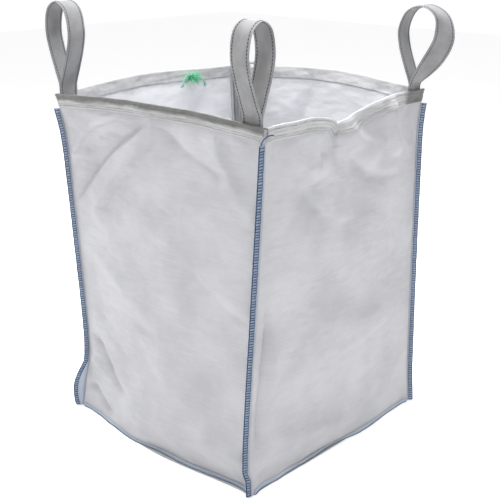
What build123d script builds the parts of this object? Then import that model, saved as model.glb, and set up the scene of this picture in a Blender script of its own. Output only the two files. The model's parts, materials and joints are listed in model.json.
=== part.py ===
from build123d import *
from collections import namedtuple
import math
import os

# An open-topped bulk bag of woven cloth: four walls and a base sewn together,
# a folded hem round the mouth and a webbing lifting loop by each corner.
# Millimetres, +Z up, origin on the floor under the middle of the base.
# The front corner points to +X -Y. Each wall is drawn as the -Y wall and turned.

# Driving dimensions
SIDE = 900
RIM = 1200
CLOTH = 3
PLY_GAP = 0.75

# The bag stands a little twisted: the rim is turned about Z, and drifts, against the base.
RIM_TWIST = math.radians(3.5)
RIM_DRIFT = (-8, -8)

# How far each corner is drawn in towards the middle of the bag, at heights from the floor up.
DRAWN_IN = {
    "front": [(0, 2), (150, 12), (1020, 12), (1110, 9), (1200, 0)],
    "right": [(0, 10), (150, 17), (1020, 18), (1110, 13), (1200, 0)],
    "back": [(0, 10), (150, 17), (1020, 18), (1110, 13), (1200, 0)],
    "left": [(0, 8), (100, 24), (210, 45), (330, 50), (650, 41), (870, 34), (1060, 25), (1200, 0)],
}

HEM_DEPTH = 45
HEM_CLOTH = 1.7

POST = 3
POST_GAP = 0.8
FIN_WIDTH = 17
FIN_CLOTH = 3.4
FIN_TOP = RIM - HEM_DEPTH - 6
FIN_INSET = 0.8
THREAD_WIDTH = 3
THREAD_CLOTH = 5

BASE_FIN_HEIGHT = 16
BASE_FIN_CLOTH = 2.4
STITCH = 0.9

WEB_WIDTH = 75
WEB_CLOTH = 3
WEB_FROM_CORNER = 18
LEG_LENGTH = 330
LEG_TOP = 2

TWINE = 5
KNOT = 24
KNOT_STATION = -0.55
KNOT_DROP = 22

# Each wall from the front corner's left wall round to the back left one. Its middle stands
# out by low at the floor, middle at half height and high at the rim, and its rim sags.
Wall = namedtuple("Wall", "name low middle high sag start end drift")
ROUND = ["left", "front", "right", "back", "left"]
SHAPES = [
    ("front_left", 42, 34, -12, -10),
    ("front_right", 6, 14, -10, 32),
    ("back_right", 14, 22, 105, -6),
    ("back_left", 16, 28, 105, 0),
]
WALLS = [
    Wall(*shape, *ROUND[k : k + 2], Vector(*RIM_DRIFT).rotate(Axis.Z, -90 * k))
    for k, shape in enumerate(SHAPES)
]

# The corner at the end of each wall: how its seam's fin is turned from the diagonal, and
# its loop's height above the pivot, greatest width, lean outwards in degrees, and how far
# its pivot is above the rim.
Corner = namedtuple("Corner", "name fin_turn height width lean rise")
CORNERS = [
    Corner("front", -78, 284, 116, 0, 14),
    Corner("right", 0, 277, 160, 8, 14),
    Corner("back", 0, 300, 96, 114, 20),
    Corner("left", 0, 292, 120, 0, 14),
]

# The lower left corner's seam is pulled out into an ear: how high and how far out.
EAR_CORNER = "left"
EAR_HEIGHT = 190
EAR_REACH = 24
EAR_OUTLINE = [(0, 0.3), (0.16, 0.72), (0.45, 1), (0.7, 0.76), (0.9, 0.26), (1, 0)]

half = SIDE / 2
wall_end = (half - POST - POST_GAP) / half
hem_end = (half - CLOTH - PLY_GAP - HEM_CLOTH - 0.6) / half
thread_end = hem_end - 0.005
base_reach = half - CLOTH - PLY_GAP - 1
web_middle = (half - WEB_FROM_CORNER - WEB_WIDTH / 2) / half
web_reach = WEB_WIDTH / 2 / half
leg_outer = -(CLOTH + PLY_GAP + HEM_CLOTH + PLY_GAP)
leg_inner = leg_outer - 2 * WEB_CLOTH
leg_middle = (leg_outer + leg_inner) / 2


def smooth_through(points, at_value):
    """A smooth curve through the points, read at one value: the slope at a point is that of
    the line between its neighbours."""
    ends = [points[0], *points, points[-1]]
    for i in range(1, len(points)):
        (x0, y0), (x1, y1), (x2, y2), (x3, y3) = ends[i - 1 : i + 3]
        if at_value <= x2 or i == len(points) - 1:
            break
    width = x2 - x1
    share = (at_value - x1) / width
    slope1 = (y2 - y0) / (x2 - x0) * width
    slope2 = (y3 - y1) / (x3 - x1) * width
    rise = y2 - y1
    return (
        y1
        + slope1 * share
        + (3 * rise - 2 * slope1 - slope2) * share**2
        + (slope1 + slope2 - 2 * rise) * share**3
    )


def drawn_in(corner, z):
    """How far a corner is drawn in at a height, along X and along Y."""
    return smooth_through(DRAWN_IN[corner], z) / math.sqrt(2)


def outset(wall, s, z):
    """How far a wall's outer face stands out from the square at station s (-1 to 1)."""
    t = z / RIM
    along = wall.low * (1 - t) * (1 - 2 * t) + wall.middle * 4 * t * (1 - t) + wall.high * t * (2 * t - 1)
    return (1 - s * s) ** 2 * along


def rim_at(wall, s):
    """Height of the rim at station s."""
    return RIM - wall.sag * (1 - s * s) ** 2


def at(wall, s, z, offset):
    """A point on a wall, offset outwards from its outer face."""
    t = z / RIM
    at_start = drawn_in(wall.start, z) * (1 - s) / 2
    at_end = drawn_in(wall.end, z) * (1 + s) / 2
    x = s * half + at_start - at_end + t * (RIM_TWIST * half + wall.drift.X)
    y = -half + at_start + at_end + t * (RIM_TWIST * s * half + wall.drift.Y)
    return Vector(x, y - outset(wall, s, z) - offset, z)


def stations(low, high, count):
    """Evenly spaced values from low to high."""
    return [low + (high - low) * i / (count - 1) for i in range(count)]


def in_plane(points):
    """The points with their X moved onto the straight line from the first to the last, so
    that a section through them is flat."""
    first, last = points[0], points[-1]
    slant = (last.X - first.X) / (last.Z - first.Z)
    return [Vector(first.X + slant * (p.Z - first.Z), p.Y, p.Z) for p in points]


def band(wall, s_range, bottom, top, inner, outer, count=9, rows=7, place=at):
    """A layer that follows a wall, between two heights that may change along it."""
    sections = []
    for s in stations(*s_range, count):
        levels = stations(bottom(s), top(s), rows)
        front = in_plane([place(wall, s, z, outer) for z in levels])
        back = in_plane([place(wall, s, z, inner) for z in levels])
        edges = [
            Edge.make_spline(front),
            Edge.make_line(front[-1], back[-1]),
            Edge.make_spline(back[::-1]),
            Edge.make_line(back[0], front[0]),
        ]
        sections.append(Face(Wire(edges)))
    return loft(sections)


def side_wall(wall):
    """One side wall, from the floor to just under the top of its hem."""
    faces = []
    for z in stations(0, RIM + 24, 25):
        front = [at(wall, s, z, 0) for s in stations(-wall_end, wall_end, 17)]
        back = [at(wall, s, z, -CLOTH) for s in stations(-wall_end, wall_end, 17)]
        edges = [
            Edge.make_spline(front),
            Edge.make_line(front[-1], back[-1]),
            Edge.make_spline(back[::-1]),
            Edge.make_line(back[0], front[0]),
        ]
        faces.append(Face(Wire(edges)))
    rim = []
    for s in stations(-1, 1, 17):
        height = rim_at(wall, s) - HEM_CLOTH - PLY_GAP - 0.8
        rim.append(Vector(at(wall, s, height, 0).X, 0, height))
    over = RIM + 100
    corners = [rim[-1], Vector(rim[-1].X, 0, over), Vector(rim[0].X, 0, over), rim[0]]
    above = Wire([Edge.make_spline(rim), *Polyline(*corners).edges()])
    return loft(faces) - extrude(Face(above), SIDE, dir=(0, 1, 0), both=True)


def on_hem(wall, s, z, offset):
    """A point on a hem, which is straight from its top edge to its lower edge."""
    top = at(wall, s, rim_at(wall, s), offset)
    low = at(wall, s, rim_at(wall, s) - HEM_DEPTH, offset)
    return low + (top - low) * ((z - low.Z) / (top.Z - low.Z))


def hem(wall):
    """The cloth folded over the wall's top edge, an upside-down U in section."""
    faces = []
    for s in stations(-hem_end, hem_end, 17):
        top = rim_at(wall, s)
        low = top - HEM_DEPTH
        under = top - HEM_CLOTH
        profile = [
            (PLY_GAP + HEM_CLOTH, low),
            (PLY_GAP + HEM_CLOTH, top),
            (-CLOTH - PLY_GAP - HEM_CLOTH, top),
            (-CLOTH - PLY_GAP - HEM_CLOTH, low),
            (-CLOTH - PLY_GAP, low),
            (-CLOTH - PLY_GAP, under),
            (PLY_GAP, under),
            (PLY_GAP, low),
        ]
        points = [on_hem(wall, s, z, offset) for offset, z in profile]
        faces.append(Face(Wire.make_polygon(points)))
    return loft(faces)


def hem_stitching(wall):
    """Two rows of thread round the outside of the hem."""
    face = PLY_GAP + HEM_CLOTH + 0.4
    rows = []
    for drop in (9, HEM_DEPTH - 6):
        rows.append(
            band(
                wall,
                (-thread_end, thread_end),
                lambda s: rim_at(wall, s) - drop - 1.6,
                lambda s: rim_at(wall, s) - drop,
                face,
                face + STITCH,
                count=17,
                rows=3,
                place=on_hem,
            )
        )
    return Compound(children=rows)


def base_panel():
    """The square base, its edges following the feet of the four walls."""
    edges = []
    end = base_reach / half
    for k, wall in enumerate(WALLS):
        foot = [at(wall, s, 0, -CLOTH - PLY_GAP) for s in stations(-end, end, 9)]
        for i, corner, side in ((0, wall.start, -1), (-1, wall.end, 1)):
            reach = base_reach - drawn_in(corner, 0)
            foot[i] = Vector(side * reach, -reach, 0)
        edges.append(Edge.make_spline(foot).rotate(Axis.Z, 90 * k))
    return extrude(Face(Wire(edges)), CLOTH)


def base_seam(wall):
    """The sewn edge that joins a wall to the base, turned up against the wall."""
    return band(
        wall,
        (-0.975, 0.975),
        lambda s: 0,
        lambda s: BASE_FIN_HEIGHT,
        PLY_GAP,
        PLY_GAP + BASE_FIN_CLOTH,
        rows=3,
    )


def base_thread(wall):
    """The overlock thread over the base seam."""
    face = PLY_GAP + BASE_FIN_CLOTH + 0.2
    return band(
        wall,
        (-0.97, 0.97),
        lambda s: 1,
        lambda s: BASE_FIN_HEIGHT - 1,
        face,
        face + STITCH,
        rows=3,
    )


def fin_reach(corner, z):
    """How far a corner seam's fin stands out at a height."""
    if corner.name != EAR_CORNER or z >= EAR_HEIGHT:
        return FIN_WIDTH
    return FIN_WIDTH + EAR_REACH * smooth_through(EAR_OUTLINE, z / EAR_HEIGHT)


def upright(wall, corner, top, section):
    """A solid that follows a corner from the floor up. section(reach) gives its outline, with
    X along the fin and Y across it, from the corner."""
    step = 1 if corner.name == EAR_CORNER else 2
    levels = [z for z in stations(0, EAR_HEIGHT, 9)[::step]]
    levels += stations(EAR_HEIGHT, top, 17)[1:]
    faces = []
    for z in levels:
        edge = at(wall, 1, z, 0)
        outline = section(fin_reach(corner, z))
        faces.append(Pos(edge) * Face(Wire.make_polygon(outline)))
    return loft(faces)


def fin_outline(corner, near, far, thickness):
    """A rectangle from near to far along the fin's direction."""
    root = Pos(-FIN_INSET, FIN_INSET, 0) * Rot(0, 0, corner.fin_turn - 45)
    corners = [(near, -1), (far, -1), (far, 1), (near, 1)]
    return [(root * Pos(x, side * thickness / 2, 0)).position for x, side in corners]


def corner_seam(wall, corner):
    """The corner's upright join: a slim post between two walls and the fin sewn outside it."""
    square = [Vector(-POST, 0), Vector(0, 0), Vector(0, POST), Vector(-POST, POST)]
    post = upright(wall, corner, RIM, lambda reach: square)
    fin = upright(
        wall, corner, FIN_TOP, lambda reach: fin_outline(corner, 0, reach, FIN_CLOTH)
    )
    return post + fin


def corner_thread(wall, corner):
    """The blue overlock thread round the free edge of a corner's fin."""
    return upright(
        wall,
        corner,
        FIN_TOP,
        lambda reach: fin_outline(
            corner, reach + 0.3, reach + 0.3 + THREAD_WIDTH, THREAD_CLOTH
        ),
    )


def loop_legs(wall):
    """The two legs of a lifting loop, laid one on the other and sewn inside the wall."""
    return band(
        wall,
        (web_middle - web_reach, web_middle + web_reach),
        lambda s: RIM - LEG_LENGTH,
        lambda s: RIM + LEG_TOP,
        leg_inner,
        leg_outer,
        count=5,
        rows=5,
    )


def loop_stitching(wall):
    """Thread that holds the legs: five upright rows and two bars across."""
    face = leg_inner - 0.2
    foot = RIM - LEG_LENGTH + 16
    head = RIM - 60
    rows = []
    for share in (-0.76, -0.38, 0, 0.38, 0.76):
        middle = web_middle + share * web_reach
        ends = (middle - 1 / half, middle + 1 / half)
        low, high = foot + 6, head - 4
        rows.append(band(wall, ends, lambda s: low, lambda s: high, face - STITCH, face, 2, 5))
    ends = (web_middle - 0.8 * web_reach, web_middle + 0.8 * web_reach)
    for height in (foot, head):
        rows.append(
            band(wall, ends, lambda s: height, lambda s: height + 2, face - STITCH, face, 5, 3)
        )
    return Compound(children=rows)


def lift_loop(height, width):
    """A teardrop of webbing standing on the origin, its width along X, bulging in Y."""
    leg = WEB_CLOTH / 2 + 0.1
    broad = width / 2 - WEB_CLOTH / 2
    middle = Edge.make_spline(
        [
            Vector(0, leg, 0.05 * height),
            Vector(0, 0.36 * broad, 0.22 * height),
            Vector(0, 0.82 * broad, 0.47 * height),
            Vector(0, broad, 0.68 * height),
            Vector(0, 0.72 * broad, 0.91 * height),
            Vector(0, 0, height - WEB_CLOTH / 2),
        ],
        tangents=[Vector(0, 0, 1), Vector(0, -1, 0)],
    )
    outer = []
    inner = []
    for t in stations(0, 1, 25):
        run = middle % t
        across = Vector(0, run.Z, -run.Y) * (WEB_CLOTH / 2)
        outer.append(middle @ t + across)
        inner.append(middle @ t - across)
    foot_out = Vector(0, outer[0].Y, 0)
    foot_in = Vector(0, inner[0].Y, 0)
    edges = [
        Edge.make_line(foot_out, outer[0]),
        Edge.make_spline(outer),
        Edge.make_line(outer[-1], inner[-1]),
        Edge.make_spline(inner[::-1]),
        Edge.make_line(inner[0], foot_in),
        Edge.make_line(foot_in, foot_out),
    ]
    leg_side = extrude(Face(Wire(edges)), WEB_WIDTH / 2, dir=(1, 0, 0), both=True)
    return leg_side + leg_side.mirror(Plane.XZ)


def twine_tail(route):
    """A loose end of twine along straight runs joined by tangent arcs."""
    runs = [after - before for before, after in zip(route, route[1:])]
    radii = []
    for before, after in zip(runs, runs[1:]):
        turn = math.radians(before.get_angle(after))
        radii.append(0.45 * min(before.length, after.length) / math.tan(turn / 2))
    path = FilletPolyline(*route, radius=radii)
    print("twine radii", [round(r, 1) for r in radii], "length", round(path.length, 1))
    section = Plane(origin=path @ 0, z_dir=path % 0) * Circle(TWINE / 2)
    return sweep(section, path=path)


def save(name, shape):
    """Write one sub-part."""
    export_step(shape, f"parts/{name}.step")


os.makedirs("parts", exist_ok=True)
save("base_panel", base_panel())
for k, wall in enumerate(WALLS):
    turn = Rot(0, 0, 90 * k)
    save(f"wall_{wall.name}", turn * side_wall(wall))
    save(f"hem_{wall.name}", turn * hem(wall))
    save(f"hem_stitching_{wall.name}", turn * hem_stitching(wall))
    save(f"base_seam_{wall.name}", turn * base_seam(wall))
    save(f"base_thread_{wall.name}", turn * base_thread(wall))

for k, (wall, corner) in enumerate(zip(WALLS, CORNERS)):
    turn = Rot(0, 0, 90 * k)
    save(f"corner_seam_{corner.name}", turn * corner_seam(wall, corner))
    save(f"corner_thread_{corner.name}", turn * corner_thread(wall, corner))
    save(f"loop_legs_{corner.name}", turn * loop_legs(wall))
    save(f"loop_stitching_{corner.name}", turn * loop_stitching(wall))
    foot = at(wall, web_middle, RIM, leg_middle)
    pivot = Pos(foot.X, foot.Y, RIM + corner.rise) * Rot(0, 0, math.degrees(RIM_TWIST))
    standing = Rot(corner.lean, 0, 0) * lift_loop(corner.height, corner.width)
    save(f"lift_loop_{corner.name}", turn * pivot * standing)
    hinge = (turn * pivot).position
    print(corner.name, "pivot", [round(c, 3) for c in hinge])

# A piece of twine knotted to the inside of the back left hem, with two loose ends.
knot_wall = WALLS[3]
knot_off = -(CLOTH + PLY_GAP + HEM_CLOTH + 1.1 + KNOT / 2)
knot = at(knot_wall, KNOT_STATION, rim_at(knot_wall, KNOT_STATION) - KNOT_DROP, knot_off)
inside = Rot(0, 0, 270)
save("tie_knot", inside * Pos(knot) * Sphere(KNOT / 2))
left_tail = [(13, 3, 4), (26, 6, 7), (40, 11, 2), (52, 14, -10), (59, 15, -24)]
right_tail = [(-13, 3, 2), (-26, 7, 3), (-40, 12, -4), (-50, 16, -17), (-55, 17, -31)]
for number, tail in enumerate([left_tail, right_tail], start=1):
    route = [knot + Vector(*point) for point in tail]
    turned = [Vector(point.Y, -point.X, point.Z) for point in route]
    print("tail", number, [tuple(round(c, 1) for c in point) for point in turned])
    save(f"tie_tail_{number}", twine_tail(turned))
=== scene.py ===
import json
import math

import bpy
import numpy as np
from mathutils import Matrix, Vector, noise


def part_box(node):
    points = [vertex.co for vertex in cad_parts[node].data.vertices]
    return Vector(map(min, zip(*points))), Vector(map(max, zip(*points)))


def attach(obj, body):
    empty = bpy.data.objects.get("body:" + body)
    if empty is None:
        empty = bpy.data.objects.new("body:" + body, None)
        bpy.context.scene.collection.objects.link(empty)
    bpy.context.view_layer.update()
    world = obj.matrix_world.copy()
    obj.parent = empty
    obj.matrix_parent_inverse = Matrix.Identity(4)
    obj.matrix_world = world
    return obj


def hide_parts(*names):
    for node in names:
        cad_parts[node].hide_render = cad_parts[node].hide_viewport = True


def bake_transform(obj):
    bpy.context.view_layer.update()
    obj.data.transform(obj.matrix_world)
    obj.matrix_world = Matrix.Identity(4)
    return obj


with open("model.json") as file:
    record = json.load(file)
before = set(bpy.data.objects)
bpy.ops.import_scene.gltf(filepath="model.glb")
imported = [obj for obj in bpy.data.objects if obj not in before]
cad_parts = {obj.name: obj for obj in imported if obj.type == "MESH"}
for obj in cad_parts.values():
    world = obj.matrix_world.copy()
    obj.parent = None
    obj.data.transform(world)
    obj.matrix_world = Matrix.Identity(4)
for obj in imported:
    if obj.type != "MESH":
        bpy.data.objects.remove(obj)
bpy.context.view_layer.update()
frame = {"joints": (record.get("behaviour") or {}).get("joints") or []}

# ---------------------------------------------------------------- camera
EYE = Vector((2.230, -2.345, 1.749))
EYE_BEARING = math.radians(133.33)
EYE_PITCH = math.radians(19.19)
LENS = 67.64

camera_data = bpy.data.cameras.new("camera")
camera_data.lens = LENS
camera_data.sensor_width = 36
camera = bpy.data.objects.new("camera", camera_data)
bpy.context.scene.collection.objects.link(camera)
looking = Vector((
    math.cos(EYE_PITCH) * math.cos(EYE_BEARING),
    math.cos(EYE_PITCH) * math.sin(EYE_BEARING),
    -math.sin(EYE_PITCH),
))
camera.location = EYE
camera.rotation_euler = looking.to_track_quat("-Z", "Y").to_euler()
bpy.context.scene.camera = camera

# ---------------------------------------------------------------- the two cords
TWINE = 0.005
TAILS = [
    [(-0.4978, 0.1985, 1.1820), (-0.4948, 0.1855, 1.1850), (-0.4898, 0.1715, 1.1800),
     (-0.4868, 0.1595, 1.1680), (-0.4858, 0.1525, 1.1540)],
    [(-0.4978, 0.2245, 1.1800), (-0.4938, 0.2375, 1.1810), (-0.4888, 0.2515, 1.1740),
     (-0.4848, 0.2615, 1.1610), (-0.4838, 0.2665, 1.1470)],
]
tails = []
for number, route in enumerate(TAILS, start=1):
    curve = bpy.data.curves.new(f"twine_tail_{number}", "CURVE")
    curve.dimensions = "3D"
    spline = curve.splines.new("NURBS")
    spline.points.add(len(route) - 1)
    for point, place in zip(spline.points, route):
        point.co = (*place, 1)
    spline.order_u = 3
    spline.use_endpoint_u = True
    spline.resolution_u = 12
    curve.bevel_depth = TWINE / 2
    curve.bevel_resolution = 4
    curve.use_fill_caps = True
    tail = bpy.data.objects.new(f"twine_tail_{number}", curve)
    bpy.context.scene.collection.objects.link(tail)
    tails.append(tail)

# ---------------------------------------------------------------- the bag's shape, in metres
HALF = 0.45
RIM = 1.2
CLOTH = 0.003
PLY_GAP = 0.00075
RIM_TWIST = math.radians(3.5)
RIM_DRIFT = -0.008
HEM_DEPTH = 0.045
HEM_CLOTH = 0.0017
FIN_WIDTH = 0.017
FIN_CLOTH = 0.0034
FIN_TOP = RIM - HEM_DEPTH - 0.006
FIN_INSET = 0.0008
EAR_HEIGHT = 0.19
EAR_REACH = 0.024
EAR_OUTLINE = [(0, 0.3), (0.16, 0.72), (0.45, 1), (0.7, 0.76), (0.9, 0.26), (1, 0)]
WEB_WIDTH = 0.075
WEB_CLOTH = 0.003
WEB_MIDDLE = (HALF - 0.018 - WEB_WIDTH / 2) / HALF
LEG_LENGTH = 0.330
LEG_MIDDLE = -0.0092

ROUND = ["left", "front", "right", "back", "left"]
WALL_NAMES = ["front_left", "front_right", "back_right", "back_left"]
# How far each wall's middle stands out at the floor, half way up and at the rim, and its sag.
WALL_SHAPES = [
    (0.042, 0.034, -0.012, -0.010),
    (0.006, 0.014, -0.010, 0.032),
    (0.014, 0.022, 0.105, -0.006),
    (0.016, 0.028, 0.105, 0.0),
]
# How far each corner is drawn in towards the middle of the bag, by height.
DRAWN_IN = {
    "front": [(0, 0.002), (0.15, 0.012), (1.02, 0.012), (1.11, 0.009), (1.2, 0)],
    "right": [(0, 0.010), (0.15, 0.017), (1.02, 0.018), (1.11, 0.013), (1.2, 0)],
    "back": [(0, 0.010), (0.15, 0.017), (1.02, 0.018), (1.11, 0.013), (1.2, 0)],
    "left": [(0, 0.008), (0.1, 0.024), (0.21, 0.045), (0.33, 0.050), (0.65, 0.041),
             (0.87, 0.034), (1.06, 0.025), (1.2, 0)],
}
# The front seam wanders sideways, to the right when it is seen from outside, by height.
FRONT_WANDER = [(0, 0), (0.055, -0.002), (0.085, -0.012), (0.3, -0.010), (0.6, -0.001),
                (0.85, 0.006), (1.05, 0.011), (1.2, 0.012)]
# How much higher each rim is than a plain sag, along the wall from -1 to 1.
RIM_LIFT = {
    0: [(-1, 0.004), (-0.8, 0.009), (-0.5, 0.011), (-0.1, 0.010), (0.2, 0.011), (0.45, 0.013),
        (0.8, 0.010), (1, 0.005)],
    1: [(-1, 0.005), (-0.8, 0.008), (-0.6, 0.012), (-0.45, 0.018), (-0.32, 0.016),
        (-0.22, 0.004), (-0.15, -0.012), (-0.05, -0.006), (0.1, 0.006), (0.3, 0.016),
        (0.45, 0.020), (0.65, 0.018), (0.85, 0.006), (1, 0.003)],
    2: [(-1, 0.003), (-0.3, 0.002), (0.2, 0.008), (0.5, 0.009), (0.8, 0.003), (1, 0.003)],
    3: [(-1, 0.003), (-0.5, 0.003), (0.3, 0.002), (1, 0.004)],
}
# Creases and bulges: wall, from (s, z), to (s, z), width, height outwards.
FOLDS = [
    (0, (-0.15, 1.14), (-0.95, 0.86), 0.030, -0.010),
    (0, (-0.35, 1.15), (-0.98, 0.98), 0.022, 0.008),
    (0, (-0.05, 1.10), (-0.75, 0.80), 0.035, 0.007),
    (0, (0.10, 1.12), (0.70, 1.02), 0.030, -0.006),
    (0, (0.55, 1.12), (0.95, 0.92), 0.035, 0.007),
    (0, (-0.70, 0.62), (0.10, 0.50), 0.050, 0.006),
    (0, (0.20, 0.72), (0.95, 0.58), 0.045, -0.005),
    (0, (-0.92, 0.30), (-0.45, 0.16), 0.022, -0.009),
    (0, (-0.96, 0.20), (-0.60, 0.20), 0.018, 0.008),
    (0, (-0.95, 0.10), (-0.55, 0.05), 0.018, -0.008),
    (0, (-0.30, 0.10), (1.00, 0.150), 0.040, 0.010),
    (0, (-0.10, 0.00), (1.00, 0.045), 0.050, -0.010),
    (1, (-1.00, 0.150), (0.25, 0.10), 0.040, 0.010),
    (1, (-1.00, 0.045), (0.10, 0.00), 0.050, -0.009),
    (1, (-0.90, 0.14), (-0.90, 0.62), 0.016, -0.010),
    (1, (-0.80, 0.16), (-0.82, 0.55), 0.020, 0.006),
    (1, (-0.13, 1.16), (-0.08, 1.00), 0.034, -0.009),
    (1, (-0.30, 1.17), (-0.45, 1.02), 0.040, 0.009),
    (1, (-0.02, 1.13), (0.45, 1.02), 0.055, 0.012),
    (1, (0.10, 1.00), (0.75, 0.90), 0.040, -0.008),
    (1, (-0.75, 1.10), (-0.25, 1.02), 0.035, 0.009),
    (1, (-0.60, 0.98), (0.05, 0.78), 0.050, -0.007),
    (1, (0.84, 1.15), (0.90, 1.03), 0.030, -0.016),
    (1, (0.55, 1.16), (0.70, 1.00), 0.030, 0.010),
    (1, (-0.50, 0.55), (0.60, 0.42), 0.060, 0.005),
    (2, (-0.60, 1.12), (0.10, 0.80), 0.050, -0.010),
    (2, (0.20, 1.12), (0.70, 0.75), 0.045, 0.009),
    (2, (-0.90, 0.20), (-0.20, 0.42), 0.040, 0.008),
    (2, (0.90, 0.16), (0.30, 0.30), 0.040, -0.008),
    (3, (-0.75, 1.10), (-0.10, 0.85), 0.045, 0.009),
    (3, (0.75, 1.12), (0.20, 0.80), 0.045, -0.010),
    (3, (0.90, 0.24), (0.30, 0.10), 0.035, -0.009),
    (3, (-0.85, 0.14), (-0.20, 0.35), 0.045, 0.008),
]


def smooth_through(points, values):
    """A smooth curve through the points, read at an array of values."""
    xs, ys = np.array(points, float).T
    slopes = np.empty_like(ys)
    slopes[1:-1] = (ys[2:] - ys[:-2]) / (xs[2:] - xs[:-2])
    slopes[0] = (ys[1] - ys[0]) / (xs[1] - xs[0])
    slopes[-1] = (ys[-1] - ys[-2]) / (xs[-1] - xs[-2])
    values = np.clip(values, xs[0], xs[-1])
    i = np.clip(np.searchsorted(xs, values, side="right") - 1, 0, len(xs) - 2)
    width = xs[i + 1] - xs[i]
    share = (values - xs[i]) / width
    first, second = slopes[i] * width, slopes[i + 1] * width
    rise = ys[i + 1] - ys[i]
    return (
        ys[i]
        + first * share
        + (3 * rise - 2 * first - second) * share**2
        + (first + second - 2 * rise) * share**3
    )


def ease(values):
    """0 below 0, 1 above 1, and a smooth step between."""
    values = np.clip(values, 0, 1)
    return values * values * (3 - 2 * values)


def noise_field(x, y, layer, across, along):
    """Smooth noise from -1 to 1, its grains that long across and along."""
    flat = zip(np.ravel(x) / across, np.ravel(y) / along)
    values = [noise.noise((a, b, layer)) for a, b in flat]
    return np.reshape(values, np.shape(x))


FOLD_STRENGTH = 1.9


def relief(k, s, z):
    """How far the loose cloth stands out from the plain wall: folds, waves and puckers."""
    x = s * HALF
    inside = ease((1 - np.abs(s)) / 0.10)
    out = 0.0080 * noise_field(x, z, 3.1 + 7 * k, 0.26, 0.20)
    out = out + 0.0044 * noise_field(x + 0.4 * z, z, 11.7 + 7 * k, 0.11, 0.07)
    ridges = np.abs(noise_field(x + 0.2 * z, z - 0.2 * x, 17.3 + 7 * k, 0.13, 0.045))
    out = out + 0.0050 * (0.25 - ridges)
    out = out + 0.0022 * noise_field(x, z + 0.15 * x, 23.9 + 7 * k, 0.070, 0.016)
    out = out + 0.0009 * noise_field(x - 0.3 * z, z, 37.3 + 7 * k, 0.020, 0.012)
    for wall, (s0, z0), (s1, z1), width, height in FOLDS:
        if wall != k:
            continue
        start = np.array([s0 * HALF, z0])
        run = np.array([s1 * HALF, z1]) - start
        length = math.hypot(*run)
        px, pz = x - start[0], z - start[1]
        share = (px * run[0] + pz * run[1]) / length**2
        bend = 0.012 * np.sin(share * 5.0 + 2.1 * z0)
        side = (px * run[1] - pz * run[0]) / length + bend
        ends = ease((share + 0.18) / 0.36) * ease((1.18 - share) / 0.36)
        sharp = np.where(side > 0, width, width * 0.55)
        out = out + FOLD_STRENGTH * height * ends * np.exp(-((side / sharp) ** 2))
    out = out * inside
    under_hem = np.exp(-np.clip(RIM - HEM_DEPTH - z, 0, 2) / 0.05)
    gathers = noise_field(x, 0 * z, 51.3 + 7 * k, 0.022, 1.0) * 0.0022
    out = out + inside * under_hem * gathers
    by_seam = np.exp(-(1 - np.abs(s)) * HALF / 0.030) * ease((1 - np.abs(s)) / 0.02)
    puckers = noise_field(0 * x, z, 63.1 + 7 * k, 1.0, 0.016) * 0.0028
    out = out + by_seam * puckers
    # The webbing legs behind the cloth keep it from sinking in.
    over_legs = ease((s - 0.70) / 0.08) * ease((z - 0.80) / 0.05)
    return out * (1 - over_legs) + np.maximum(out, -0.0030) * over_legs


def surface(k, s, z, offset=0.0, loose=1.0):
    """Points of wall k at stations s and heights z, offset outwards from its outer face."""
    s, z, offset = np.broadcast_arrays(
        np.asarray(s, float), np.asarray(z, float), np.asarray(offset, float)
    )
    low, middle, high, _ = WALL_SHAPES[k]
    t = z / RIM
    along = low * (1 - t) * (1 - 2 * t) + middle * 4 * t * (1 - t) + high * t * (2 * t - 1)
    outset = (1 - s * s) ** 2 * along
    if loose:
        outset = outset + loose * relief(k, s, z)
    turn = math.radians(90 * k)
    drift_x = RIM_DRIFT * (math.cos(turn) + math.sin(turn))
    drift_y = RIM_DRIFT * (math.cos(turn) - math.sin(turn))
    at_start = smooth_through(DRAWN_IN[ROUND[k]], z) / math.sqrt(2) * (1 - s) / 2
    at_end = smooth_through(DRAWN_IN[ROUND[k + 1]], z) / math.sqrt(2) * (1 + s) / 2
    x = s * HALF + at_start - at_end + t * (RIM_TWIST * HALF + drift_x)
    y = -HALF + at_start + at_end + t * (RIM_TWIST * s * HALF + drift_y)
    y = y - outset - offset
    world_x = x * math.cos(turn) - y * math.sin(turn)
    world_y = x * math.sin(turn) + y * math.cos(turn)
    if k < 2:
        near_front = ((1 + s) / 2 if k == 0 else (1 - s) / 2) ** 3
        wander = smooth_through(FRONT_WANDER, z) * near_front
        world_x = world_x + 0.728 * wander
        world_y = world_y + 0.686 * wander
    lift = smooth_through(RIM_LIFT[k], s) * ease((z - RIM + 0.26) / 0.22)
    return np.stack([world_x, world_y, z + lift], axis=-1)


def rim_height(k, s):
    """Height of wall k's rim before its lift, at stations s."""
    return RIM - WALL_SHAPES[k][3] * (1 - np.asarray(s, float) ** 2) ** 2


# ---------------------------------------------------------------- materials
def new_material(name):
    """An empty node material: the material, its nodes and its links."""
    material = bpy.data.materials.new(name)
    material.use_nodes = True
    material.node_tree.nodes.clear()
    return material


def add(tree, kind, inputs=(), **settings):
    """A node with its settings, and its inputs as values or sockets to link from."""
    made = tree.nodes.new(kind)
    for key, value in settings.items():
        setattr(made, key, value)
    for key, value in dict(inputs).items():
        if isinstance(value, bpy.types.NodeSocket):
            tree.links.new(value, made.inputs[key])
        else:
            made.inputs[key].default_value = value
    return made


def math_node(tree, operation, first, second=0.0):
    return add(tree, "ShaderNodeMath", {0: first, 1: second}, operation=operation).outputs[0]


def mix_colour(tree, share, first, second):
    made = add(tree, "ShaderNodeMix", data_type="RGBA")
    for socket, value in ((0, share), (6, first), (7, second)):
        if isinstance(value, bpy.types.NodeSocket):
            tree.links.new(value, made.inputs[socket])
        else:
            made.inputs[socket].default_value = value
    return made.outputs[2]


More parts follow.
